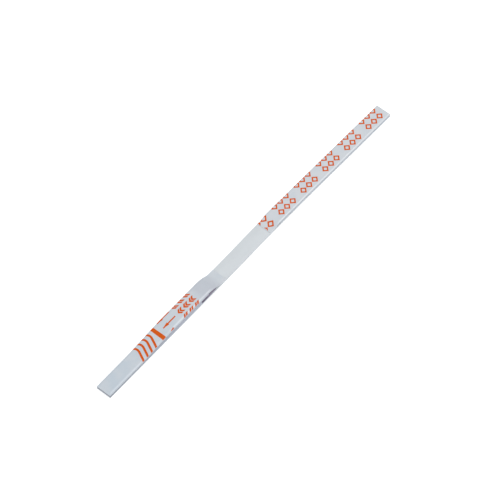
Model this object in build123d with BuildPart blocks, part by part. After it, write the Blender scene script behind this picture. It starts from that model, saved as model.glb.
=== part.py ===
from build123d import *
import os
from itertools import pairwise
from math import atan2, radians, sin, sqrt, tan

# Lateral flow test strip, lying face up on its two ends.
# Millimetres. X runs from the sample end to the handle end, Y across the strip and Z up,
# with the origin under the middle of the strip, on the surface that it rests on.
# Places along the strip are measured from its sample end, and heights from the card's underside.

# Size of the strip: all its layers are laid up wide and then cut to one width
strip_length = 100.0
strip_width = 4.0

# Thickness of each layer
card_thickness = 0.30
membrane_thickness = 0.14
lower_pad_thickness = 0.90
sample_pad_thickness = 0.85
absorbent_pad_thickness = 0.70
tape_thickness = 0.10
ink_thickness = 0.02

# Lengths of the layers, and how far one reaches over the next
sample_pad_length = 34.2
buffer_pad_level_length = 9.8
conjugate_pad_length = 4.8
conjugate_pad_past_sample_pad = 2.4
conjugate_pad_on_membrane = 1.4
membrane_length = 27.8
absorbent_pad_on_membrane = 3.5
sample_tape_foot = 0.9
handle_tape_foot = 0.75

# Slopes where a layer climbs onto another or comes down off it
buffer_pad_wedge_length = 10.6
buffer_pad_wedge_bend = 0.6
buffer_pad_front_thickness = 0.12
sample_tape_slope = radians(33)
sample_tape_clearance = 0.10
handle_tape_slope = radians(26)
wick_step_slope = radians(9)
bend_share = 0.8

# The bow that the strip rests in, from one straight run to the next
membrane_bend_rise = 0.62
membrane_bend_past_tape = 2.8
tape_bend_rise = 1.08
tape_bend_before_tape = 2.0
handle_bend_rise = 1.06
handle_bend_past_membrane = 5.5
bow_radius = 60.0

# Print on the sample tape
print_margin = 0.12
wave_count = 4
wave_pitch = 1.45
wave_crest = 12.88
wave_crest_offset = 0.95
wave_lean = 0.47
wave_line = 0.42
wave_round = 1.50
limit_bar_centre = 18.68
limit_bar_width = 0.95
arrow_tip = 20.50
arrow_length = 4.00
arrow_head_length = 1.50
arrow_head_width = 0.62
arrow_shaft_width = 0.20
arrow_row = -0.09
arrow_row_pitch = 1.89
arrow_rows = 3
block_start = 25.60
block_columns = 3
block_column_pitch = 1.95
block_row = -0.12
block_row_pitch = 1.87
block_rows = 3
chevrons_in_mark = 2
chevron_pitch = 0.70
chevron_point = 0.55
chevron_line = 0.34
chevron_width = 1.20

# Print on the handle tape
diamond_size = 1.95
diamond_line = 0.34
diamond_pitch = 2.05
diamond_group = 3
diamond_group_start = 60.80
diamond_group_pitch = 8.0
diamond_row = -0.46
diamond_row_pitch = 2.15
diamond_rows = 2

# Heights of the faces that the layers lie on
card_top = card_thickness
membrane_top = card_top + membrane_thickness
lower_pad_top = card_top + lower_pad_thickness
sample_pad_top = lower_pad_top + sample_pad_thickness

# Places along the strip
sample_pad_end = sample_pad_length
conjugate_pad_end = sample_pad_end + conjugate_pad_past_sample_pad
conjugate_pad_start = conjugate_pad_end - conjugate_pad_length
membrane_start = conjugate_pad_end - conjugate_pad_on_membrane
membrane_end = membrane_start + membrane_length
absorbent_pad_start = membrane_end - absorbent_pad_on_membrane


def bend_radius(tangent_length, turn):
    """Radius of a bend that starts a given length before its corner."""
    return tangent_length / tan(turn / 2)


# The sample tape leaves the sample pad's end level, slopes down past the conjugate pad's
# end and lands on the membrane
slope_clearance = sample_tape_clearance / sin(sample_tape_slope)
slope_run = 1 / tan(sample_tape_slope)
sample_tape_top_corner = conjugate_pad_end + slope_clearance - sample_pad_thickness * slope_run
sample_tape_foot_corner = sample_tape_top_corner + (sample_pad_top - membrane_top) * slope_run
sample_tape_slope_length = (sample_pad_top - membrane_top) / sin(sample_tape_slope)
sample_tape_top_bend = sample_tape_top_corner - sample_pad_end
sample_tape_foot_bend = bend_share * (sample_tape_slope_length - sample_tape_top_bend)
sample_tape_end = sample_tape_foot_corner + sample_tape_foot_bend + sample_tape_foot

# The handle tape starts on the membrane and is level again where the absorbent pad starts
handle_tape_slope_length = absorbent_pad_thickness / sin(handle_tape_slope)
handle_tape_bend = bend_share * handle_tape_slope_length / 2
handle_tape_top_corner = absorbent_pad_start - handle_tape_bend
handle_tape_foot_corner = handle_tape_top_corner - absorbent_pad_thickness / tan(handle_tape_slope)
handle_tape_start = handle_tape_foot_corner - handle_tape_bend - handle_tape_foot

# The absorbent pad steps down to the card just past the membrane's end
wick_step_bend = bend_share * membrane_thickness / sin(wick_step_slope) / 2
wick_step_top_corner = membrane_end + wick_step_bend
wick_step_foot_corner = wick_step_top_corner + membrane_thickness / tan(wick_step_slope)

# The buffer pad's front end is pressed down to a wedge, and the sample pad climbs it
wedge_turn = atan2(lower_pad_thickness, buffer_pad_wedge_length)
wedge_radius = bend_radius(buffer_pad_wedge_bend, wedge_turn)
wedge_top_corner = conjugate_pad_start - buffer_pad_level_length - buffer_pad_wedge_bend
wedge_foot_corner = wedge_top_corner - buffer_pad_wedge_length
buffer_pad_start = wedge_foot_corner + buffer_pad_wedge_length * buffer_pad_front_thickness / lower_pad_thickness

# The card's underside, as corners with the radius of the bend at each
resting_line = [
    (Vector(-strip_length / 2, 0), 0),
    (Vector(sample_tape_end + membrane_bend_past_tape - strip_length / 2, membrane_bend_rise), bow_radius),
    (Vector(handle_tape_start - tape_bend_before_tape - strip_length / 2, tape_bend_rise), bow_radius),
    (Vector(membrane_end + handle_bend_past_membrane - strip_length / 2, handle_bend_rise), bow_radius),
    (Vector(strip_length / 2, 0), 0),
]


def station(along, height):
    """Point of the side view at a place along the strip and a height above the card's underside."""
    x = along - strip_length / 2
    for (start, _), (end, _) in pairwise(resting_line):
        if x <= end.X:
            break
    run = end - start
    foot = start + run * ((x - start.X) / run.X)
    return foot + run.normalized().rotate(Axis.Z, 90) * height


def raised(line, thickness):
    """The line that lies a thickness above another, with each bend about the same centre."""
    runs = [(end - start).normalized() for (start, _), (end, _) in pairwise(line)]
    lifted = []
    for (point, radius), before, after in zip(line, [runs[0]] + runs, runs + [runs[-1]]):
        normals = before.rotate(Axis.Z, 90) + after.rotate(Axis.Z, 90)
        upward_bend = before.cross(after).Z > 0
        new_radius = radius - thickness if upward_bend else radius + thickness
        lifted.append((point + normals * (thickness / (1 + before.dot(after))), new_radius))
    return lifted


def level(start, end, height):
    """A line at one height above the card's underside, through the bends of the bow."""
    bends = [
        corner
        for corner, (point, _) in zip(raised(resting_line, height), resting_line)
        if start < point.X + strip_length / 2 < end
    ]
    return [(station(start, height), 0), *bends, (station(end, height), 0)]


def draw(line):
    """Draw a line from its corners and their radii."""
    points = [point for point, _ in line]
    if len(points) == 2:
        return Line(*points)
    return FilletPolyline(*points, radius=[radius for _, radius in line[1:-1]])


def draw_layer(underside, thickness):
    """Outline of the side view of a layer of one thickness that lies on a line."""
    lower = draw(underside)
    upper = draw(raised(underside, thickness))
    Line(lower @ 0, upper @ 0)
    Line(lower @ 1, upper @ 1)


# Lines that the layers lie on
card_underside = level(0, strip_length, 0)
membrane_underside = level(membrane_start, membrane_end, card_top)
conjugate_pad_underside = level(conjugate_pad_start, conjugate_pad_end, card_top)

sample_pad_underside = [
    (station(0, card_top), 0),
    (station(wedge_foot_corner, card_top), wedge_radius),
    (station(wedge_top_corner, lower_pad_top), wedge_radius),
    (station(sample_pad_end, lower_pad_top), 0),
]
buffer_pad_topside = [
    (station(buffer_pad_start, card_top + buffer_pad_front_thickness), 0),
    (station(wedge_top_corner, lower_pad_top), wedge_radius),
    (station(conjugate_pad_start, lower_pad_top), 0),
]

wick_step_radius = bend_radius(wick_step_bend, wick_step_slope)
absorbent_pad_underside = [
    (station(absorbent_pad_start, membrane_top), 0),
    (station(wick_step_top_corner, membrane_top), wick_step_radius),
    (station(wick_step_foot_corner, card_top), wick_step_radius),
    *level(wick_step_foot_corner, strip_length, card_top)[1:],
]

sample_tape_underside = [
    *raised(sample_pad_underside, sample_pad_thickness)[:-1],
    (station(sample_tape_top_corner, sample_pad_top), bend_radius(sample_tape_top_bend, sample_tape_slope)),
    (station(sample_tape_foot_corner, membrane_top), bend_radius(sample_tape_foot_bend, sample_tape_slope)),
    (station(sample_tape_end, membrane_top), 0),
]

handle_tape_radius = bend_radius(handle_tape_bend, handle_tape_slope)
handle_tape_underside = [
    (station(handle_tape_start, membrane_top), 0),
    (station(handle_tape_foot_corner, membrane_top), handle_tape_radius),
    (station(handle_tape_top_corner, membrane_top + absorbent_pad_thickness), handle_tape_radius),
    *raised(absorbent_pad_underside, absorbent_pad_thickness)[1:],
]


os.makedirs("parts", exist_ok=True)

# Backing card, the full length of the strip
with BuildPart() as backing_card:
    with BuildSketch(Plane.XZ):
        with BuildLine():
            draw_layer(card_underside, card_thickness)
        make_face()
    extrude(amount=strip_width / 2, both=True)
backing_card.part.label = "backing_card"
export_step(backing_card.part, "parts/backing_card.step")

# Membrane, bare between the two tapes
with BuildPart() as membrane:
    with BuildSketch(Plane.XZ):
        with BuildLine():
            draw_layer(membrane_underside, membrane_thickness)
        make_face()
    extrude(amount=strip_width / 2, both=True)
membrane.part.label = "membrane"
export_step(membrane.part, "parts/membrane.step")

# Conjugate pad, pressed down over the membrane's end
with BuildPart() as conjugate_pad:
    with BuildSketch(Plane.XZ):
        with BuildLine():
            draw_layer(conjugate_pad_underside, lower_pad_thickness)
        make_face()
    extrude(amount=strip_width / 2, both=True)
    add(membrane.part, mode=Mode.SUBTRACT)
conjugate_pad.part.label = "conjugate_pad"
export_step(conjugate_pad.part, "parts/conjugate_pad.step")

# Buffer pad, end to end with the conjugate pad, with its front end pressed down to a wedge
with BuildPart() as buffer_pad:
    with BuildSketch(Plane.XZ):
        with BuildLine():
            foot = Line(station(buffer_pad_start, card_top), station(conjugate_pad_start, card_top))
            top = draw(buffer_pad_topside)
            Line(foot @ 0, top @ 0)
            Line(foot @ 1, top @ 1)
        make_face()
    extrude(amount=strip_width / 2, both=True)
buffer_pad.part.label = "buffer_pad"
export_step(buffer_pad.part, "parts/buffer_pad.step")

# Sample pad, on the card, up the buffer pad's wedge and on over both lower pads
with BuildPart() as sample_pad:
    with BuildSketch(Plane.XZ):
        with BuildLine():
            draw_layer(sample_pad_underside, sample_pad_thickness)
        make_face()
    extrude(amount=strip_width / 2, both=True)
sample_pad.part.label = "sample_pad"
export_step(sample_pad.part, "parts/sample_pad.step")

# Absorbent pad, from the membrane's end down to the card
with BuildPart() as absorbent_pad:
    with BuildSketch(Plane.XZ):
        with BuildLine():
            draw_layer(absorbent_pad_underside, absorbent_pad_thickness)
        make_face()
    extrude(amount=strip_width / 2, both=True)
absorbent_pad.part.label = "absorbent_pad"
export_step(absorbent_pad.part, "parts/absorbent_pad.step")

# Tape over the sample pad, bridging down to the membrane
with BuildPart() as sample_tape:
    with BuildSketch(Plane.XZ):
        with BuildLine():
            draw_layer(sample_tape_underside, tape_thickness)
        make_face()
    extrude(amount=strip_width / 2, both=True)
sample_tape.part.label = "sample_tape"
export_step(sample_tape.part, "parts/sample_tape.step")

# Tape over the absorbent pad
with BuildPart() as handle_tape:
    with BuildSketch(Plane.XZ):
        with BuildLine():
            draw_layer(handle_tape_underside, tape_thickness)
        make_face()
    extrude(amount=strip_width / 2, both=True)
handle_tape.part.label = "handle_tape"
export_step(handle_tape.part, "parts/handle_tape.step")

# Print: each mark is a film of ink on its tape. The sheets are printed before they are cut
# to width, so a mark is cut off where it meets the far edge.
sample_tape_top = raised(sample_tape_underside, tape_thickness)
handle_tape_top = raised(handle_tape_underside, tape_thickness)
above_strip = sample_pad_top + tape_bend_rise + handle_bend_rise


def place(along):
    """X of a place along the strip."""
    return along - strip_length / 2


def keep_printed_width():
    """Cut a sketch of marks to the width that is printed."""
    with Locations((0, print_margin / 2)):
        Rectangle(2 * strip_length, strip_width - print_margin, mode=Mode.INTERSECT)


# Wave lines that show how deep the sample end is dipped
with BuildPart() as printed_waves:
    with BuildSketch(Plane.XZ):
        with BuildLine():
            draw_layer(sample_tape_top, ink_thickness)
        make_face()
    extrude(amount=strip_width / 2, both=True)
    with BuildSketch():
        for wave in range(wave_count):
            crest = place(wave_crest + wave * wave_pitch)
            with BuildLine():
                FilletPolyline(
                    (crest - wave_lean * strip_width, wave_crest_offset - strip_width),
                    (crest, wave_crest_offset),
                    (crest - wave_lean * strip_width, wave_crest_offset + strip_width),
                    radius=wave_round,
                )
            trace(line_width=wave_line)
        keep_printed_width()
    extrude(amount=above_strip, mode=Mode.INTERSECT)
printed_waves.part.label = "printed_waves"
export_step(printed_waves.part, "parts/printed_waves.step")

# Bar that marks the deepest level
with BuildPart() as printed_limit_bar:
    with BuildSketch(Plane.XZ):
        with BuildLine():
            draw_layer(sample_tape_top, ink_thickness)
        make_face()
    extrude(amount=strip_width / 2, both=True)
    with BuildSketch():
        with Locations((place(limit_bar_centre), 0)):
            Rectangle(limit_bar_width, strip_width)
        keep_printed_width()
    extrude(amount=above_strip, mode=Mode.INTERSECT)
printed_limit_bar.part.label = "printed_limit_bar"
export_step(printed_limit_bar.part, "parts/printed_limit_bar.step")

# Arrows that point to the sample end
with BuildPart() as printed_arrows:
    with BuildSketch(Plane.XZ):
        with BuildLine():
            draw_layer(sample_tape_top, ink_thickness)
        make_face()
    extrude(amount=strip_width / 2, both=True)
    with BuildSketch():
        with Locations((place(arrow_tip), arrow_row)):
            with GridLocations(1, arrow_row_pitch, 1, arrow_rows, align=(Align.MIN, Align.CENTER)):
                Polygon(
                    (0, 0),
                    (arrow_head_length, -arrow_head_width / 2),
                    (arrow_head_length, arrow_head_width / 2),
                )
                Rectangle(arrow_length, arrow_shaft_width, align=(Align.MIN, Align.CENTER))
        keep_printed_width()
    extrude(amount=above_strip, mode=Mode.INTERSECT)
printed_arrows.part.label = "printed_arrows"
export_step(printed_arrows.part, "parts/printed_arrows.step")

# Block of double chevrons next to the arrows
with BuildPart() as printed_block:
    with BuildSketch(Plane.XZ):
        with BuildLine():
            draw_layer(sample_tape_top, ink_thickness)
        make_face()
    extrude(amount=strip_width / 2, both=True)
    with BuildSketch():
        with Locations((place(block_start), block_row)):
            with GridLocations(
                block_column_pitch, block_row_pitch, block_columns, block_rows, align=(Align.MIN, Align.CENTER)
            ):
                with GridLocations(chevron_pitch, 1, chevrons_in_mark, 1, align=(Align.MIN, Align.CENTER)):
                    Polygon(
                        (0, 0),
                        (chevron_point, -chevron_width / 2),
                        (chevron_point + chevron_line, -chevron_width / 2),
                        (chevron_line, 0),
                        (chevron_point + chevron_line, chevron_width / 2),
                        (chevron_point, chevron_width / 2),
                    )
        keep_printed_width()
    extrude(amount=above_strip, mode=Mode.INTERSECT)
printed_block.part.label = "printed_block"
export_step(printed_block.part, "parts/printed_block.step")

# Rows of open diamonds along the handle tape, in groups
with BuildPart() as printed_diamonds:
    with BuildSketch(Plane.XZ):
        with BuildLine():
            draw_layer(handle_tape_top, ink_thickness)
        make_face()
    extrude(amount=strip_width / 2, both=True)
    with BuildSketch():
        groups_before = int((diamond_group_start - handle_tape_start) // diamond_group_pitch) + 1
        groups_after = int((strip_length - diamond_group_start) // diamond_group_pitch) + 1
        for group in range(-groups_before, groups_after):
            first_diamond = place(diamond_group_start + group * diamond_group_pitch) + diamond_size / 2
            with Locations((first_diamond, diamond_row)):
                with GridLocations(
                    diamond_pitch, diamond_row_pitch, diamond_group, diamond_rows, align=(Align.MIN, Align.MIN)
                ):
                    RegularPolygon(diamond_size / 2, 4)
                    RegularPolygon(diamond_size / 2 - diamond_line * sqrt(2), 4, mode=Mode.SUBTRACT)
        keep_printed_width()
    extrude(amount=above_strip, mode=Mode.INTERSECT)
printed_diamonds.part.label = "printed_diamonds"
export_step(printed_diamonds.part, "parts/printed_diamonds.step")
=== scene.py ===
from math import cos, inf, radians, sin

import bpy
from bpy.props import FloatProperty, FloatVectorProperty, IntProperty, PointerProperty
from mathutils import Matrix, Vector


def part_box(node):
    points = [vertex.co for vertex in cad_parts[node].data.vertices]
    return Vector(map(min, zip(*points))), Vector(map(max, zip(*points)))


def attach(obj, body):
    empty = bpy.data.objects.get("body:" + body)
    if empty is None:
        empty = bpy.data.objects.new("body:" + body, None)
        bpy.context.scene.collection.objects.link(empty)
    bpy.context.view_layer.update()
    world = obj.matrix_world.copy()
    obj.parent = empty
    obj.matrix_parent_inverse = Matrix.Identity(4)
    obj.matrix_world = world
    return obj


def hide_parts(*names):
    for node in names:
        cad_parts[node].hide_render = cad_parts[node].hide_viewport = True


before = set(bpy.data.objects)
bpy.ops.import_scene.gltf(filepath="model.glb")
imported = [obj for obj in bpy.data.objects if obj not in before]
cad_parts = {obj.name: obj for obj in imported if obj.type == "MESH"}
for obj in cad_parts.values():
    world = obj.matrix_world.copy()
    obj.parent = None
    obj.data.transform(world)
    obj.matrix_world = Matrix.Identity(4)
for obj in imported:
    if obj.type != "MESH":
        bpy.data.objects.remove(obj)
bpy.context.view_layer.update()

bl_info = {
    "name": "Lateral flow test strip",
    "version": (1, 0, 0),
    "blender": (4, 5, 0),
    "location": "3D View > Sidebar > Test strip",
    "description": "Dresses a bare test strip: card, membrane, fibre pads, cover tapes and their print",
    "category": "Object",
}

# The strip's place, in metres, from its backing card
STRIP_LOW, STRIP_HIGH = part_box("backing_card")
HALF_WIDTH = STRIP_HIGH.y
BODY = "root"

# How the CAD pieces' meshes are copied and finished
WELD_DISTANCE = 2e-7
FLAT_ANGLE = radians(0.05)
SHARP_ANGLE = radians(50)
SMOOTH_ANGLE = radians(35)

# Least upward share of an edge's run for it to be upright, and of a face's normal to face up
UPRIGHT = 0.9
FACES_UP = 0.5

# Places at which a rolled edge bends, as shares of the roll's width from the cut edge inwards
ROLL_SHARES = (0.08, 0.2, 0.35, 0.5, 0.65, 0.8, 0.95, 1.1)

# Values between which most of a noise lies, and a closer pair that gives sharper patches
NOISE_RANGE = (0.3, 0.7)
PATCH_RANGE = (0.35, 0.65)

# Where shade is painted on the sample tape, in metres, for the shadowed gap under it where it bridges
# over the dyed pad:
# it starts and is full before the sample pad's end, and clears past the dyed pad's end
SHADE_STARTS = 3e-3
SHADE_FULL = 1.2e-3
SHADE_CLEARS = 2.2e-3

# Heights over the dyed pad's underside, in metres: up to the first it is white, from the second
# it is dyed, and the border between them is ragged by the third
WHITE_FOOT = 1.5e-4
DYED_ABOVE = 3.5e-4
RAGGED = 3e-4


class StripSizes(bpy.types.PropertyGroup):
    """Sizes of the details that laying up and cutting leave on the strip's pieces."""

    plastic_round: FloatProperty(
        name="Plastic edge rounding", description="Width of the rounding on cut plastic edges",
        default=1.5e-5, unit="LENGTH", precision=6)
    plastic_cell: FloatProperty(
        name="Plastic cell", description="Spacing of the stations along the card, membrane and tapes",
        default=5e-4, unit="LENGTH", precision=6)
    pad_round: FloatProperty(
        name="Pad edge rounding", description="Width of the rounding on the pads' cut edges",
        default=5e-5, unit="LENGTH", precision=6)
    pad_cell: FloatProperty(
        name="Pad cell", description="Spacing of the stations along the pads",
        default=2.5e-4, unit="LENGTH", precision=6)
    pad_rows: IntProperty(
        name="Pad rows", description="Cuts between the bottom and the top of the pads' cut faces",
        default=5)
    pad_inset: FloatProperty(
        name="Pad inset", description="How far the pads' cut faces lie inside the tape's edge",
        default=4e-5, unit="LENGTH", precision=6)
    pad_fuzz: FloatProperty(
        name="Pad fuzz", description="Depth of the tufts on the pads' cut faces",
        default=6e-5, unit="LENGTH", precision=6)
    pad_tuft: FloatProperty(
        name="Pad tuft", description="Size of the tufts on the pads' cut faces",
        default=2.5e-4, unit="LENGTH", precision=6)
    roll_width: FloatProperty(
        name="Roll width", description="Width of the edge that the cutter presses down",
        default=4.5e-4, unit="LENGTH", precision=6)
    roll_depth: FloatProperty(
        name="Roll depth", description="How far the edges of a tape and its pad are pressed down",
        default=1.8e-4, unit="LENGTH", precision=6)
    sample_roll: FloatProperty(
        name="Sample roll", description="How much larger the roll of the sample pad and its tape is",
        default=1.4)
    roll_reach: FloatProperty(
        name="Roll reach", description="How far past the sample pad its tape stays fully rolled",
        default=1e-3, unit="LENGTH", precision=6)
    wave_height: FloatProperty(
        name="Tape wave height", description="Height of the soft unevenness of the tapes",
        default=2e-5, unit="LENGTH", precision=6)
    wave_length: FloatProperty(
        name="Tape wave length", description="Size of the soft unevenness of the tapes",
        default=2.2e-3, unit="LENGTH", precision=6)
    ink_spread: FloatProperty(
        name="Ink spread", description="How far the ink of the sample tape spreads past its marks",
        default=6e-5, unit="LENGTH", precision=6)
    block_spread: FloatProperty(
        name="Block ink spread", description="How far the ink spreads past the marks of the block",
        default=7.5e-5, unit="LENGTH", precision=6)
    ink_inset: FloatProperty(
        name="Ink inset", description="How far the ink stays inside the strip's cut edges",
        default=2e-5, unit="LENGTH", precision=6)
    ink_height: FloatProperty(
        name="Ink height", description="Height of the top of the ink over the tape",
        default=8e-6, unit="LENGTH", precision=6)
    ink_thickness: FloatProperty(
        name="Ink thickness", description="Thickness of the ink's film, part of it in the tape",
        default=1.4e-5, unit="LENGTH", precision=6)


class StripColours(bpy.types.PropertyGroup):
    """Colours of the strip's finishes."""

    card: FloatVectorProperty(
        name="Card", description="White plastic of the backing card",
        default=(0.59, 0.63, 0.68), subtype="COLOR", min=0, max=1)
    membrane: FloatVectorProperty(
        name="Membrane", description="Bare porous membrane",
        default=(0.62, 0.657, 0.685), subtype="COLOR", min=0, max=1)
    # Cool patches of the film, and the painted shade that darkens it towards the sample end
    cool_and_shaded_tape: FloatVectorProperty(
        name="Cool tape", description="Cool patches of the cover tapes' white film",
        default=(0.5046, 0.5772, 0.648), subtype="COLOR", min=0, max=1)
    # Warm patches of the film, and its painted light towards the handle
    warm_and_lit_tape: FloatVectorProperty(
        name="Warm tape", description="Warm patches of the cover tapes' white film",
        default=(0.618, 0.6435, 0.675), subtype="COLOR", min=0, max=1)
    # Painted shade of the shadowed gap under the film where it bridges over the dyed pad, with the
    # dye's tint
    tape_over_gap_shade: FloatVectorProperty(
        name="Bridging tape", description="The film where the dyed pad shows through it",
        default=(0.501, 0.533, 0.590625), subtype="COLOR", min=0, max=1)
    pad: FloatVectorProperty(
        name="Pad", description="White fleece of the sample and buffer pads",
        default=(0.52, 0.55, 0.635), subtype="COLOR", min=0, max=1)
    wick: FloatVectorProperty(
        name="Wick", description="White blotting paper of the absorbent pad",
        default=(0.53, 0.565, 0.63), subtype="COLOR", min=0, max=1)
    dye: FloatVectorProperty(
        name="Dye", description="Purple dye dried into the conjugate pad",
        default=(0.085, 0.048, 0.10), subtype="COLOR", min=0, max=1)
    dye_pale: FloatVectorProperty(
        name="Pale dye", description="The dye where it thins out towards the membrane",
        default=(0.30, 0.27, 0.35), subtype="COLOR", min=0, max=1)
    ink: FloatVectorProperty(
        name="Ink", description="Orange ink of the print",
        default=(0.58, 0.092, 0.006), subtype="COLOR", min=0, max=1)


class StripStage(bpy.types.PropertyGroup):
    """The camera, the lamps, the sky and the floor."""

    azimuth: FloatProperty(
        name="Azimuth", description="Direction that the camera looks in, from +Y towards +X",
        default=radians(50.188), subtype="ANGLE")
    elevation: FloatProperty(
        name="Elevation", description="Height of the camera above the horizon",
        default=radians(57.006), subtype="ANGLE")
    distance: FloatProperty(
        name="Distance", description="Distance of the camera from the point that it looks at",
        default=0.84027, unit="LENGTH")
    lens: FloatProperty(
        name="Lens", description="Focal length of the camera in millimetres",
        default=264.08)
    aim: FloatVectorProperty(
        name="Aim", description="Point on the floor that the camera looks at",
        default=(0.000275, -0.000644, 0.0), subtype="TRANSLATION")
    key_place: FloatVectorProperty(
        name="Key lamp place", description="Middle of the key lamp, above the near side of the handle",
        default=(0.19, -0.135, 0.387), subtype="TRANSLATION")
    key_size: FloatProperty(
        name="Key lamp size", description="Width of the key lamp's square face",
        default=0.16, unit="LENGTH")
    key_power: FloatProperty(
        name="Key lamp power", description="Power of the key lamp",
        default=0.90, unit="POWER")
    fill_place: FloatVectorProperty(
        name="Fill lamp place", description="Middle of the fill lamp, beyond the sample end",
        default=(-0.36, 0.04, 0.25), subtype="TRANSLATION")
    fill_size: FloatProperty(
        name="Fill lamp size", description="Width of the fill lamp's square face",
        default=0.4, unit="LENGTH")
    fill_power: FloatProperty(
        name="Fill lamp power", description="Power of the fill lamp",
        default=0.6, unit="POWER")
    sky: FloatProperty(
        name="Sky", description="Strength of the even light from all round",
        default=0.53)
    floor_glow: FloatProperty(
        name="Floor glow", description="How far the floor is lifted towards white where it is seen",
        default=0.48)
    floor_width: FloatProperty(
        name="Floor width", description="Width of the square floor",
        default=6.0, unit="LENGTH")


class Value:
    """A socket of a material's nodes. A sum on values adds the Math nodes that work it out."""

    def __init__(self, shader, socket):
        self.shader = shader
        self.socket = socket

    def maths(self, operation, first, second):
        return self.shader.node("Math", {"operation": operation}, {0: first, 1: second})

    def __add__(self, other):
        return self.maths("ADD", self, other)

    def __radd__(self, other):
        return self.maths("ADD", other, self)

    def __sub__(self, other):
        return self.maths("SUBTRACT", self, other)

    def __rsub__(self, other):
        return self.maths("SUBTRACT", other, self)

    def __mul__(self, other):
        return self.maths("MULTIPLY", self, other)

    def __rmul__(self, other):
        return self.maths("MULTIPLY", other, self)


class Shader:
    """A material whose nodes are all made by one method."""

    def __init__(self, name):
        self.material = bpy.data.materials.new(name)
        self.material.use_nodes = True
        self.tree = self.material.node_tree
        self.tree.nodes.clear()

    def node(self, kind, settings=None, inputs=None, output=0):
        """Add a node: its settings first, then the values or links of its sockets."""
        made = self.tree.nodes.new("ShaderNode" + kind)
        for name, setting in (settings or {}).items():
            setattr(made, name, setting)
        for name, value in (inputs or {}).items():
            if isinstance(value, Value):
                self.tree.links.new(value.socket, made.inputs[name])
            else:
                made.inputs[name].default_value = value
        return Value(self, made.outputs[output]) if made.outputs else None

    def place(self, stretch=(1, 1, 1)):
        """Object coordinates in millimetres, stretched along the strip, across it and upwards."""
        coordinates = self.node("TexCoord", output="Object")
        return self.node("Mapping", inputs={
            "Vector": coordinates, "Scale": [1000 / share for share in stretch]})

    def axis(self, name):
        """One of the Object coordinates, in metres."""
        coordinates = self.node("TexCoord", output="Object")
        return self.node("SeparateXYZ", inputs={"Vector": coordinates}, output=name)

    def along(self):
        """Distance along the strip in metres, from its middle."""
        return self.axis("X")

    def upward(self):
        """Height over the floor in metres."""
        return self.axis("Z")

    def noise(self, size, stretch=(1, 1, 1), detail=3.0, roughness=0.5):
        """Noise about 0.5, in patches of a size in millimetres, longer by the stretch."""
        return self.node("TexNoise", inputs={
            "Vector": self.place(stretch), "Scale": 1 / size,
            "Detail": detail, "Roughness": roughness})

    def span(self, value, low, high, new_low=0.0, new_high=1.0):
        """A value that runs between two numbers while another runs between two of its own."""
        return self.node("MapRange", inputs={
            "Value": value, "From Min": low, "From Max": high,
            "To Min": new_low, "To Max": new_high})

    def mix(self, share, first, second):
        """A colour between two, each a colour's numbers or a value."""
        first, second = [
            colour if isinstance(colour, Value) else (*colour[:3], 1)
            for colour in (first, second)]
        return self.node(
            "Mix", {"data_type": "RGBA"}, {"Factor": share, 6: first, 7: second}, output=2)

    def bump(self, height, depth, strength=1.0):
        """A normal from a height between 0 and 1, with its depth in metres."""
        return self.node("Bump", inputs={
            "Height": height, "Distance": depth, "Strength": strength})

    def surface(self, inputs):
        """Close the material with a Principled surface."""
        shader = self.node("BsdfPrincipled", inputs=inputs)
        self.node("OutputMaterial", inputs={"Surface": shader})
        return self.material


def tint(colour, factor):
    """A colour made lighter or darker."""
    return tuple(min(1.0, channel * factor) for channel in colour[:3])


def card_plastic(colours):
    """Satin white sheet, faintly streaked along its length."""
    shader = Shader("card_plastic")
    streaks = shader.noise(0.08, stretch=(12, 1, 1))
    cloud = shader.span(shader.noise(2.5), *NOISE_RANGE)
    return shader.surface({
        "Base Color": shader.mix(cloud, tint(colours.card, 0.97), tint(colours.card, 1.03)),
        "Roughness": shader.span(streaks, *NOISE_RANGE, 0.38, 0.52),
        "Normal": shader.bump(streaks, depth=4e-6),
    })


def membrane_film(colours):
    """Matt porous film with a fine, even grain."""
    shader = Shader("membrane_film")
    grain = shader.noise(0.035, detail=5.0, roughness=0.65)
    cloud = shader.noise(1.8, stretch=(2, 1, 1))
    tone = 0.6 * shader.span(cloud, *NOISE_RANGE) + 0.4 * shader.span(grain, *NOISE_RANGE)
    dull, clear = tint(colours.membrane, 0.965), tint(colours.membrane, 1.035)
    return shader.surface({
        "Base Color": shader.mix(tone, dull, clear),
        "Roughness": shader.span(grain, *NOISE_RANGE, 0.78, 0.95),
        "Normal": shader.bump(grain, depth=6e-6, strength=0.8),
        "Specular IOR Level": 0.3,
    })


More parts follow.
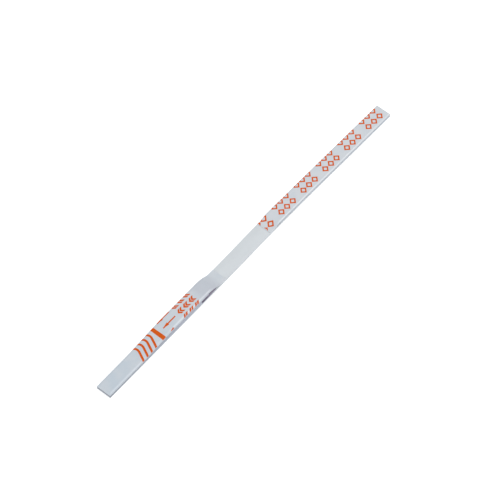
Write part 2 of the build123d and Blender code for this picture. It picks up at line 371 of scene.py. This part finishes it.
def tape_film(colours):
    """Satin white film over soft pads, in cool and warm patches, with fine scuffs along the strip.

    It is lighter and warmer towards the handle: partly the film's own cool tint, partly painted shade
    of the light falling off towards the sample end.
    Painted shade of the gap under it darkens it where it bridges down over the dyed pad, with the dye's
    tint.
    """
    shader = Shader("tape_film")
    patches = shader.noise(2.2, detail=2.0)
    scuffs = shader.noise(0.05, stretch=(9, 1, 1), detail=4.0)
    pressed = shader.noise(0.35, detail=3.0)
    # Painted light fall-off: the film is painted lighter towards the handle and darker towards the
    # sample end
    painted_light_falloff = shader.span(shader.along(), STRIP_LOW.x, 0.0)
    unevenness = (0.35 * shader.span(patches, *PATCH_RANGE)
                  + 0.15 * shader.span(scuffs, *NOISE_RANGE))
    white = shader.mix(unevenness + 0.5 * painted_light_falloff, colours.cool_and_shaded_tape, colours.warm_and_lit_tape)

    sample_pad_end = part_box("sample_pad")[1].x
    conjugate_pad_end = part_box("conjugate_pad")[1].x
    # Painted shade on the film where it bridges over the shadowed gap above the dyed pad
    darkens = shader.span(
        shader.along(), sample_pad_end - SHADE_STARTS, sample_pad_end - SHADE_FULL)
    clears = shader.span(shader.along(), conjugate_pad_end, conjugate_pad_end + SHADE_CLEARS)
    gap_shade_share = darkens * (1 - clears) * (0.8 + 0.4 * (patches - 0.5))
    return shader.surface({
        "Base Color": shader.mix(gap_shade_share, white, colours.tape_over_gap_shade),
        "Roughness": shader.span(scuffs, *NOISE_RANGE, 0.28, 0.38),
        "Normal": shader.bump(0.7 * pressed + 0.3 * scuffs, depth=1.6e-5, strength=0.7),
        "Specular IOR Level": 0.5,
    })


def fleece(name, colour, strand, depth):
    """White fibre mat: strands along the strip in thin layers, with painted shade in the gaps between
    them.

    It is painted darker towards the sample end, as shade where the strip lies on the floor.
    """
    shader = Shader(name)
    strands = shader.noise(strand, stretch=(9, 4, 1), detail=6.0, roughness=0.7)
    tufts = shader.noise(0.22, stretch=(1.6, 1, 1), detail=4.0)
    height = 0.6 * strands + 0.4 * tufts
    # Painted contact shade: darker towards the sample end, where the strip lies on the floor
    past_contact_shade = shader.span(shader.along(), STRIP_LOW.x, STRIP_LOW.x / 2)
    # Painted shade in the gaps between the strands, and lit fibres on the strands
    shaded_gaps = shader.mix(past_contact_shade, tint(colour, 0.50), tint(colour, 0.80))
    lit_fibres = shader.mix(past_contact_shade, tint(colour, 0.70), tint(colour, 1.09))
    return shader.surface({
        "Base Color": shader.mix(shader.span(height, 0.36, 0.62), shaded_gaps, lit_fibres),
        "Roughness": shader.span(strands, *NOISE_RANGE, 0.80, 0.97),
        "Normal": shader.bump(height, depth, strength=0.9),
        "Specular IOR Level": 0.2,
    })


def dyed_fleece(colours):
    """Fibre mat stained purple, paler towards the membrane, with a white foot and white strands."""
    shader = Shader("dyed_fleece")
    low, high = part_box("conjugate_pad")
    length = high.x - low.x
    strands = shader.noise(0.05, stretch=(9, 4, 1), detail=6.0, roughness=0.7)
    blots = shader.noise(0.7, detail=3.0)
    tufts = shader.noise(0.22, detail=4.0)
    unevenness = 0.9 * (blots - 0.5) + 0.4 * (strands - 0.5)

    paler = shader.span(shader.along(), low.x + 0.15 * length, low.x + 0.6 * length)
    stained = shader.mix(
        shader.span(paler + unevenness, 0.0, 1.0), colours.dye, colours.dye_pale)
    height = shader.upward() + RAGGED * unevenness
    white_foot = shader.span(height, low.z + WHITE_FOOT, low.z + DYED_ABOVE, 1.0, 0.0)
    white_strands = shader.span(strands, 0.62, 0.75, 0.0, 0.5)
    undyed = shader.node("Math", {"operation": "MAXIMUM"}, {0: white_foot, 1: white_strands})
    return shader.surface({
        "Base Color": shader.mix(undyed, stained, tint(colours.pad, 0.8)),
        "Roughness": shader.span(strands, *NOISE_RANGE, 0.82, 0.97),
        "Normal": shader.bump(0.6 * strands + 0.4 * tufts, depth=3e-5, strength=0.9),
        "Specular IOR Level": 0.2,
    })


def print_ink(colours):
    """Orange ink that lies a little unevenly, thinner in places."""
    shader = Shader("print_ink")
    cover = shader.noise(0.16, detail=5.0, roughness=0.6)
    full, thin = tint(colours.ink, 0.9), tint(colours.ink, 1.22)
    return shader.surface({
        "Base Color": shader.mix(shader.span(cover, *PATCH_RANGE), full, thin),
        "Roughness": shader.span(cover, *NOISE_RANGE, 0.42, 0.6),
        "Normal": shader.bump(cover, depth=4e-6, strength=0.6),
        "Specular IOR Level": 0.1,
    })


def white_floor(glow):
    """Pale floor that looks white to the camera and in reflections, and still takes the shadow."""
    shader = Shader("white_floor")
    camera = shader.node("LightPath", output="Is Camera Ray")
    glossy = shader.node("LightPath", output="Is Glossy Ray")
    clear = shader.node("LightPath", output="Is Transmission Ray")
    seen = shader.node(
        "Math", {"operation": "ADD", "use_clamp": True}, {0: camera + glossy, 1: clear})
    colour = shader.mix(shader.noise(8.0, detail=2.0), (0.86, 0.86, 0.86), (0.88, 0.88, 0.88))
    paint = shader.node("BsdfDiffuse", inputs={"Color": colour})
    light = shader.node("Emission", inputs={"Color": (1, 1, 1, 1), "Strength": glow})
    lifted = shader.node("AddShader", inputs={0: paint, 1: light})
    surface = shader.node("MixShader", inputs={0: seen, 1: paint, 2: lifted})
    shader.node("OutputMaterial", inputs={"Surface": surface})
    return shader.material


def pick(piece):
    """Make a piece the only one selected, and the active one."""
    bpy.ops.object.select_all(action="DESELECT")
    piece.select_set(True)
    bpy.context.view_layer.objects.active = piece


def copy_of(node, name):
    """A copy of a CAD node with its loose triangles merged into whole faces."""
    piece = bpy.data.objects.new(name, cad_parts[node].data.copy())
    piece.data.name = name
    piece.data.materials.clear()
    bpy.context.scene.collection.objects.link(piece)
    pick(piece)
    if piece.data.has_custom_normals:
        bpy.ops.mesh.customdata_custom_splitnormals_clear()
    bpy.ops.object.mode_set(mode="EDIT")
    bpy.ops.mesh.select_all(action="SELECT")
    bpy.ops.mesh.remove_doubles(threshold=WELD_DISTANCE)
    bpy.ops.mesh.dissolve_limited(angle_limit=FLAT_ANGLE)
    bpy.ops.object.mode_set(mode="OBJECT")
    return piece


def cut_stations(piece, direction, places):
    """Cut a piece's mesh through at places along a direction, so that it can bend there."""
    normal = Vector(direction)
    pick(piece)
    bpy.ops.object.mode_set(mode="EDIT")
    for place in places:
        bpy.ops.mesh.select_all(action="SELECT")
        bpy.ops.mesh.bisect(plane_co=normal * place, plane_no=normal, threshold=WELD_DISTANCE)
    bpy.ops.object.mode_set(mode="OBJECT")


def stations(low, high, cell):
    """Places about a cell apart, on one grid for all the pieces."""
    first = int(low / cell) - 1
    last = int(high / cell) + 1
    return [index * cell for index in range(first, last + 1) if low < index * cell < high]


def roll_stations(width):
    """Distances from a cut edge at which a roll of a width bends."""
    return [share * width for share in ROLL_SHARES]


def side_stations(sizes, roll):
    """Places across the strip at which the rolls along its two sides bend."""
    distances = roll_stations(roll * sizes.roll_width)
    return [side * (HALF_WIDTH - distance) for side in (-1, 1) for distance in distances]


def rolled_down(place, strip_end, width):
    """Share of the full roll at a place: 1 at the cut edges and 0 further in."""
    depth = min(HALF_WIDTH - abs(place.y), abs(place.x - strip_end))
    return max(0.0, 1 - depth / width) ** 2


def height_shares(piece, cell):
    """A function that tells how high a place in a layer lies: 0 on its underside, 1 on its top."""
    spans = {}
    for vertex in piece.data.vertices:
        station = round(vertex.co.x / cell)
        low, high = spans.get(station, (inf, -inf))
        spans[station] = (min(low, vertex.co.z), max(high, vertex.co.z))

    def share(place):
        low, high = spans[round(place.x / cell)]
        return (place.z - low) / (high - low)

    return share


def modify(piece, kind, **settings):
    """Give a piece a modifier and apply it."""
    pick(piece)
    modifier = piece.modifiers.new(kind.title(), kind)
    for name, value in settings.items():
        setattr(modifier, name, value)
    bpy.ops.object.modifier_apply(modifier=modifier.name)


def weigh(piece, name, weight_of):
    """A vertex group whose weights come from a function of each vertex's place."""
    group = piece.vertex_groups.new(name=name)
    for vertex in piece.data.vertices:
        weight = weight_of(vertex.co)
        if weight > 0:
            group.add([vertex.index], weight, "REPLACE")
    return group.name


def round_edges(piece, width):
    """Round a piece's sharp edges."""
    modify(piece, "BEVEL", width=width, segments=2, limit_method="ANGLE",
           angle_limit=SHARP_ANGLE, use_clamp_overlap=False)


def press_down(piece, depth, weight_of):
    """Lower a piece's vertices by shares of a depth."""
    modify(piece, "DISPLACE", direction="Z", strength=-depth, mid_level=0.0,
           vertex_group=weigh(piece, "pressed", weight_of))


def cloud_texture(name, size):
    """Soft noise for the Displace modifier, in patches of a size."""
    texture = bpy.data.textures.new(name, "CLOUDS")
    texture.noise_scale = size
    texture.noise_depth = 3
    return texture


def dress(piece, material, slot, *nodes):
    """Finish a piece: its shading, its material and the CAD nodes that it stands for."""
    pick(piece)
    bpy.ops.object.shade_smooth_by_angle(angle=SMOOTH_ANGLE)
    piece.data.materials.append(material)
    piece.vertex_groups.clear()
    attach(piece, BODY)
    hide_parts(*nodes)


def make_sheet(node, name, material, slot, sizes):
    """A plain sheet with its cut edges softened."""
    piece = copy_of(node, name)
    low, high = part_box(node)
    round_edges(piece, sizes.plastic_round)
    cut_stations(piece, (1, 0, 0), stations(low.x, high.x, sizes.plastic_cell))
    dress(piece, material, slot, node)


def make_pad(node, name, material, slot, sizes, strip_end=None, roll=1.0):
    """A fibre pad: its cut faces are roughened into tufts, its top is rolled down with its tape.

    Only a pad that reaches an end of the strip has a strip_end, and is rolled down.
    """
    piece = copy_of(node, name)
    low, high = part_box(node)
    round_edges(piece, sizes.pad_round)
    cut_stations(piece, (1, 0, 0), stations(low.x, high.x, sizes.pad_cell))
    clear_of_rounding = HALF_WIDTH - 1.5 * sizes.pad_round
    side_places = [place for place in side_stations(sizes, roll) if abs(place) < clear_of_rounding]
    cut_stations(piece, (0, 1, 0), side_places + stations(low.y, high.y, 2 * sizes.pad_cell))

    # Rows up the cut faces, which then move in from the tape's edge
    pick(piece)
    bpy.ops.object.mode_set(mode="EDIT")
    bpy.ops.mesh.select_all(action="DESELECT")
    bpy.ops.object.mode_set(mode="OBJECT")
    vertices = piece.data.vertices
    for edge in piece.data.edges:
        start, end = [vertices[index].co for index in edge.vertices]
        run = end - start
        edge.select = abs(run.z) > UPRIGHT * run.length and run.length > 2 * sizes.pad_round
    bpy.ops.object.mode_set(mode="EDIT")
    bpy.ops.mesh.select_mode(type="EDGE")
    bpy.ops.mesh.subdivide(number_cuts=sizes.pad_rows)
    bpy.ops.mesh.select_all(action="SELECT")
    bpy.ops.transform.resize(value=(1, 1 - sizes.pad_inset / HALF_WIDTH, 1))
    bpy.ops.object.mode_set(mode="OBJECT")

    if strip_end is not None:
        height_share = height_shares(piece, sizes.pad_cell)
        width = roll * sizes.roll_width
        press_down(piece, roll * sizes.roll_depth, lambda place: (
            height_share(place) * rolled_down(place, strip_end, width)))

    cut_face_depth = 3 * sizes.pad_round
    side = HALF_WIDTH - sizes.pad_inset

    def on_cut_face(place):
        depth = min(side - abs(place.y), abs(place.x - low.x), abs(place.x - high.x))
        return 1.0 if depth < cut_face_depth else 0.0

    modify(piece, "DISPLACE", texture=cloud_texture(name + "_tufts", sizes.pad_tuft),
           texture_coords="LOCAL", direction="NORMAL", strength=sizes.pad_fuzz, mid_level=0.6,
           vertex_group=weigh(piece, "cut_faces", on_cut_face))
    dress(piece, material, slot, node)


def make_tape(node, name, full_roll, no_roll, material, sizes, roll=1.0):
    """A cover tape: a softly uneven film, with its cut edges rolled down where it lies on its pad.

    Along the strip, the roll fades from the place full_roll to the place no_roll.
    """
    piece = copy_of(node, name)
    low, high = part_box(node)
    strip_end = max((low.x, high.x), key=abs)
    inward = -1 if strip_end > 0 else 1
    width = roll * sizes.roll_width
    round_edges(piece, sizes.plastic_round)
    end_places = [strip_end + inward * distance for distance in roll_stations(width)]
    cut_stations(piece, (1, 0, 0), stations(low.x, high.x, sizes.plastic_cell) + end_places)
    side_places = side_stations(sizes, roll)
    cut_stations(piece, (0, 1, 0), side_places + stations(low.y, high.y, sizes.plastic_cell))

    def rolled_edge(place):
        over_pad = (place.x - no_roll) / (full_roll - no_roll)
        return rolled_down(place, strip_end, width) * min(1.0, max(0.0, over_pad))

    press_down(piece, roll * sizes.roll_depth, rolled_edge)
    modify(piece, "DISPLACE", texture=cloud_texture(name + "_waves", sizes.wave_length),
           texture_coords="LOCAL", direction="Z", strength=sizes.wave_height, mid_level=0.4)
    dress(piece, material, "tape", node)


def spread_outline(piece, spread, side):
    """Move the outline of a flat sheet outwards in its plane, but not past the strip's sides."""
    mesh = piece.data
    uses = {}
    for face in mesh.polygons:
        for edge in face.edge_keys:
            uses[edge] = uses.get(edge, 0) + 1

    # Each vertex of the outline with the directions that its edges face
    outward = {}
    for face in mesh.polygons:
        corners = list(face.vertices)
        for start, end in zip(corners, corners[1:] + corners[:1]):
            if uses[min(start, end), max(start, end)] == 1:
                run = mesh.vertices[end].co - mesh.vertices[start].co
                facing = Vector((run.y, -run.x, 0)).normalized()
                outward.setdefault(start, []).append(facing)
                outward.setdefault(end, []).append(facing)

    # A corner goes out to where its two edges meet once they have moved. At a spike the two
    # directions nearly cancel out, and it stays where it is
    least_total = 0.5
    for index, facings in outward.items():
        total = sum(facings, Vector((0, 0, 0)))
        place = mesh.vertices[index].co
        if abs(place.y) < side and total.length > least_total:
            place += total * (spread * len(facings) / total.length_squared)
        place.y = min(side, max(-side, place.y))


def make_print(node, name, tape, material, sizes, spread=0.0, roll=1.0):
    """A printed mark: the top of its CAD film, laid on the tape and given its thickness again."""
    piece = copy_of(node, name)
    low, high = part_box(node)
    pick(piece)
    bpy.ops.object.mode_set(mode="EDIT")
    bpy.ops.mesh.select_mode(type="FACE")
    bpy.ops.mesh.select_all(action="DESELECT")
    bpy.ops.object.mode_set(mode="OBJECT")
    for face in piece.data.polygons:
        face.select = face.normal.z < FACES_UP
    bpy.ops.object.mode_set(mode="EDIT")
    bpy.ops.mesh.delete(type="FACE")
    bpy.ops.object.mode_set(mode="OBJECT")
    spread_outline(piece, spread, HALF_WIDTH - sizes.ink_inset)
    side_places = side_stations(sizes, roll)
    cut_stations(piece, (1, 0, 0), stations(low.x, high.x, sizes.plastic_cell))
    cut_stations(piece, (0, 1, 0), side_places + stations(low.y, high.y, sizes.plastic_cell))
    modify(piece, "SHRINKWRAP", target=tape, wrap_method="PROJECT", use_project_z=True,
           use_negative_direction=True, use_positive_direction=True, offset=sizes.ink_height)
    modify(piece, "SOLIDIFY", thickness=sizes.ink_thickness, offset=-1)
    dress(piece, material, "orange_ink", node)


class STRIP_OT_backing_card(bpy.types.Operator):
    """Make the backing card"""

    bl_idname = "strip.backing_card"
    bl_label = "Backing card"

    def execute(self, context):
        plastic = card_plastic(context.scene.strip_colours)
        make_sheet("backing_card", "card_sheet", plastic, "backing_plastic",
                   context.scene.strip_sizes)
        return {"FINISHED"}


class STRIP_OT_membrane(bpy.types.Operator):
    """Make the membrane, bare between the tapes"""

    bl_idname = "strip.membrane"
    bl_label = "Membrane"

    def execute(self, context):
        film = membrane_film(context.scene.strip_colours)
        make_sheet("membrane", "membrane_sheet", film, "membrane", context.scene.strip_sizes)
        return {"FINISHED"}


class STRIP_OT_pads(bpy.types.Operator):
    """Make the four fibre pads"""

    bl_idname = "strip.pads"
    bl_label = "Pads"

    def execute(self, context):
        sizes = context.scene.strip_sizes
        colours = context.scene.strip_colours
        white = fleece("white_fleece", colours.pad, strand=0.05, depth=3e-5)
        dyed = dyed_fleece(colours)
        blotter = fleece("blotting_paper", colours.wick, strand=0.035, depth=2e-5)
        make_pad("sample_pad", "sample_fleece", white, "white_pad", sizes,
                 STRIP_LOW.x, sizes.sample_roll)
        make_pad("buffer_pad", "buffer_fleece", white, "white_pad", sizes)
        make_pad("conjugate_pad", "conjugate_fleece", dyed, "dyed_pad", sizes)
        make_pad("absorbent_pad", "absorbent_blotter", blotter, "wick_pad", sizes, STRIP_HIGH.x)
        return {"FINISHED"}


class STRIP_OT_tapes(bpy.types.Operator):
    """Make the two cover tapes"""

    bl_idname = "strip.tapes"
    bl_label = "Tapes"

    def execute(self, context):
        sizes = context.scene.strip_sizes
        film = tape_film(context.scene.strip_colours)
        sample_pad_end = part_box("sample_pad")[1].x
        conjugate_pad_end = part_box("conjugate_pad")[1].x
        make_tape("sample_tape", "sample_film", sample_pad_end + sizes.roll_reach,
                  conjugate_pad_end, film, sizes, sizes.sample_roll)
        make_tape("handle_tape", "handle_film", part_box("absorbent_pad")[0].x,
                  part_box("handle_tape")[0].x, film, sizes)
        return {"FINISHED"}


class STRIP_OT_print(bpy.types.Operator):
    """Make the print on the two tapes"""

    bl_idname = "strip.print"
    bl_label = "Print"

    def execute(self, context):
        sizes = context.scene.strip_sizes
        ink = print_ink(context.scene.strip_colours)
        sample_film = bpy.data.objects["sample_film"]
        handle_film = bpy.data.objects["handle_film"]
        for node, name, spread in (
            ("printed_waves", "ink_waves", sizes.ink_spread),
            ("printed_limit_bar", "ink_limit_bar", sizes.ink_spread),
            ("printed_arrows", "ink_arrows", sizes.ink_spread),
            ("printed_block", "ink_block", sizes.block_spread),
        ):
            make_print(node, name, sample_film, ink, sizes, spread, sizes.sample_roll)
        make_print("printed_diamonds", "ink_diamonds", handle_film, ink, sizes)
        return {"FINISHED"}


def add_lamp(name, place, size, power):
    """A square soft lamp that faces the middle of the strip."""
    bpy.ops.object.light_add(type="AREA", location=place)
    lamp = bpy.context.object
    lamp.name = name
    lamp.rotation_mode = "QUATERNION"
    lamp.rotation_quaternion = (-Vector(place)).to_track_quat("-Z", "Y")
    lamp.data.size = size
    lamp.data.energy = power


class STRIP_OT_stage(bpy.types.Operator):
    """Make the floor, the camera, the lamps and the sky"""

    bl_idname = "strip.stage"
    bl_label = "Stage"

    def execute(self, context):
        scene = context.scene
        stage = scene.strip_stage

        bpy.ops.object.select_all(action="DESELECT")
        bpy.ops.mesh.primitive_plane_add(size=stage.floor_width, location=(0, 0, 0))
        floor = context.object
        floor.name = "floor"
        floor.data.materials.append(white_floor(stage.floor_glow))

        level = Vector((sin(stage.azimuth), cos(stage.azimuth), 0))
        look = level * cos(stage.elevation) - Vector((0, 0, sin(stage.elevation)))
        bpy.ops.object.camera_add(location=Vector(stage.aim) - look * stage.distance)
        camera = context.object
        camera.name = "camera"
        camera.rotation_mode = "QUATERNION"
        camera.rotation_quaternion = look.to_track_quat("-Z", "Y")
        camera.data.lens = stage.lens
        camera.data.sensor_width = 36
        camera.data.clip_start = 0.01
        scene.camera = camera

        add_lamp("key_lamp", stage.key_place, stage.key_size, stage.key_power)
        add_lamp("fill_lamp", stage.fill_place, stage.fill_size, stage.fill_power)

        sky = bpy.data.worlds.new("sky")
        sky.use_nodes = True
        background = sky.node_tree.nodes["Background"]
        background.inputs["Color"].default_value = (1, 1, 1, 1)
        background.inputs["Strength"].default_value = stage.sky
        scene.world = sky
        scene.view_settings.view_transform = "Standard"
        return {"FINISHED"}


class STRIP_PT_panel(bpy.types.Panel):
    """Lists the strip's sizes, colours and stage, and the operators that make it"""

    bl_idname = "STRIP_PT_panel"
    bl_label = "Test strip"
    bl_space_type = "VIEW_3D"
    bl_region_type = "UI"
    bl_category = "Test strip"

    def draw(self, context):
        for group_name in GROUPS:
            group = getattr(context.scene, group_name)
            box = self.layout.box()
            for name in group.bl_rna.properties.keys():
                if name not in ("rna_type", "name"):
                    box.prop(group, name)
        for operator in OPERATORS:
            self.layout.operator(operator.bl_idname)


GROUPS = {"strip_sizes": StripSizes, "strip_colours": StripColours, "strip_stage": StripStage}
OPERATORS = (
    STRIP_OT_stage,
    STRIP_OT_backing_card,
    STRIP_OT_membrane,
    STRIP_OT_pads,
    STRIP_OT_tapes,
    STRIP_OT_print,
)


def register():
    for made in (*GROUPS.values(), *OPERATORS, STRIP_PT_panel):
        bpy.utils.register_class(made)
    for name, group in GROUPS.items():
        setattr(bpy.types.Scene, name, PointerProperty(type=group))


def unregister():
    for name in GROUPS:
        delattr(bpy.types.Scene, name)
    for made in reversed((*GROUPS.values(), *OPERATORS, STRIP_PT_panel)):
        bpy.utils.unregister_class(made)


def main():
    register()
    bpy.ops.strip.stage()
    bpy.ops.strip.backing_card()
    bpy.ops.strip.membrane()
    bpy.ops.strip.pads()
    bpy.ops.strip.tapes()
    bpy.ops.strip.print()


if __name__ == "__main__":
    main()
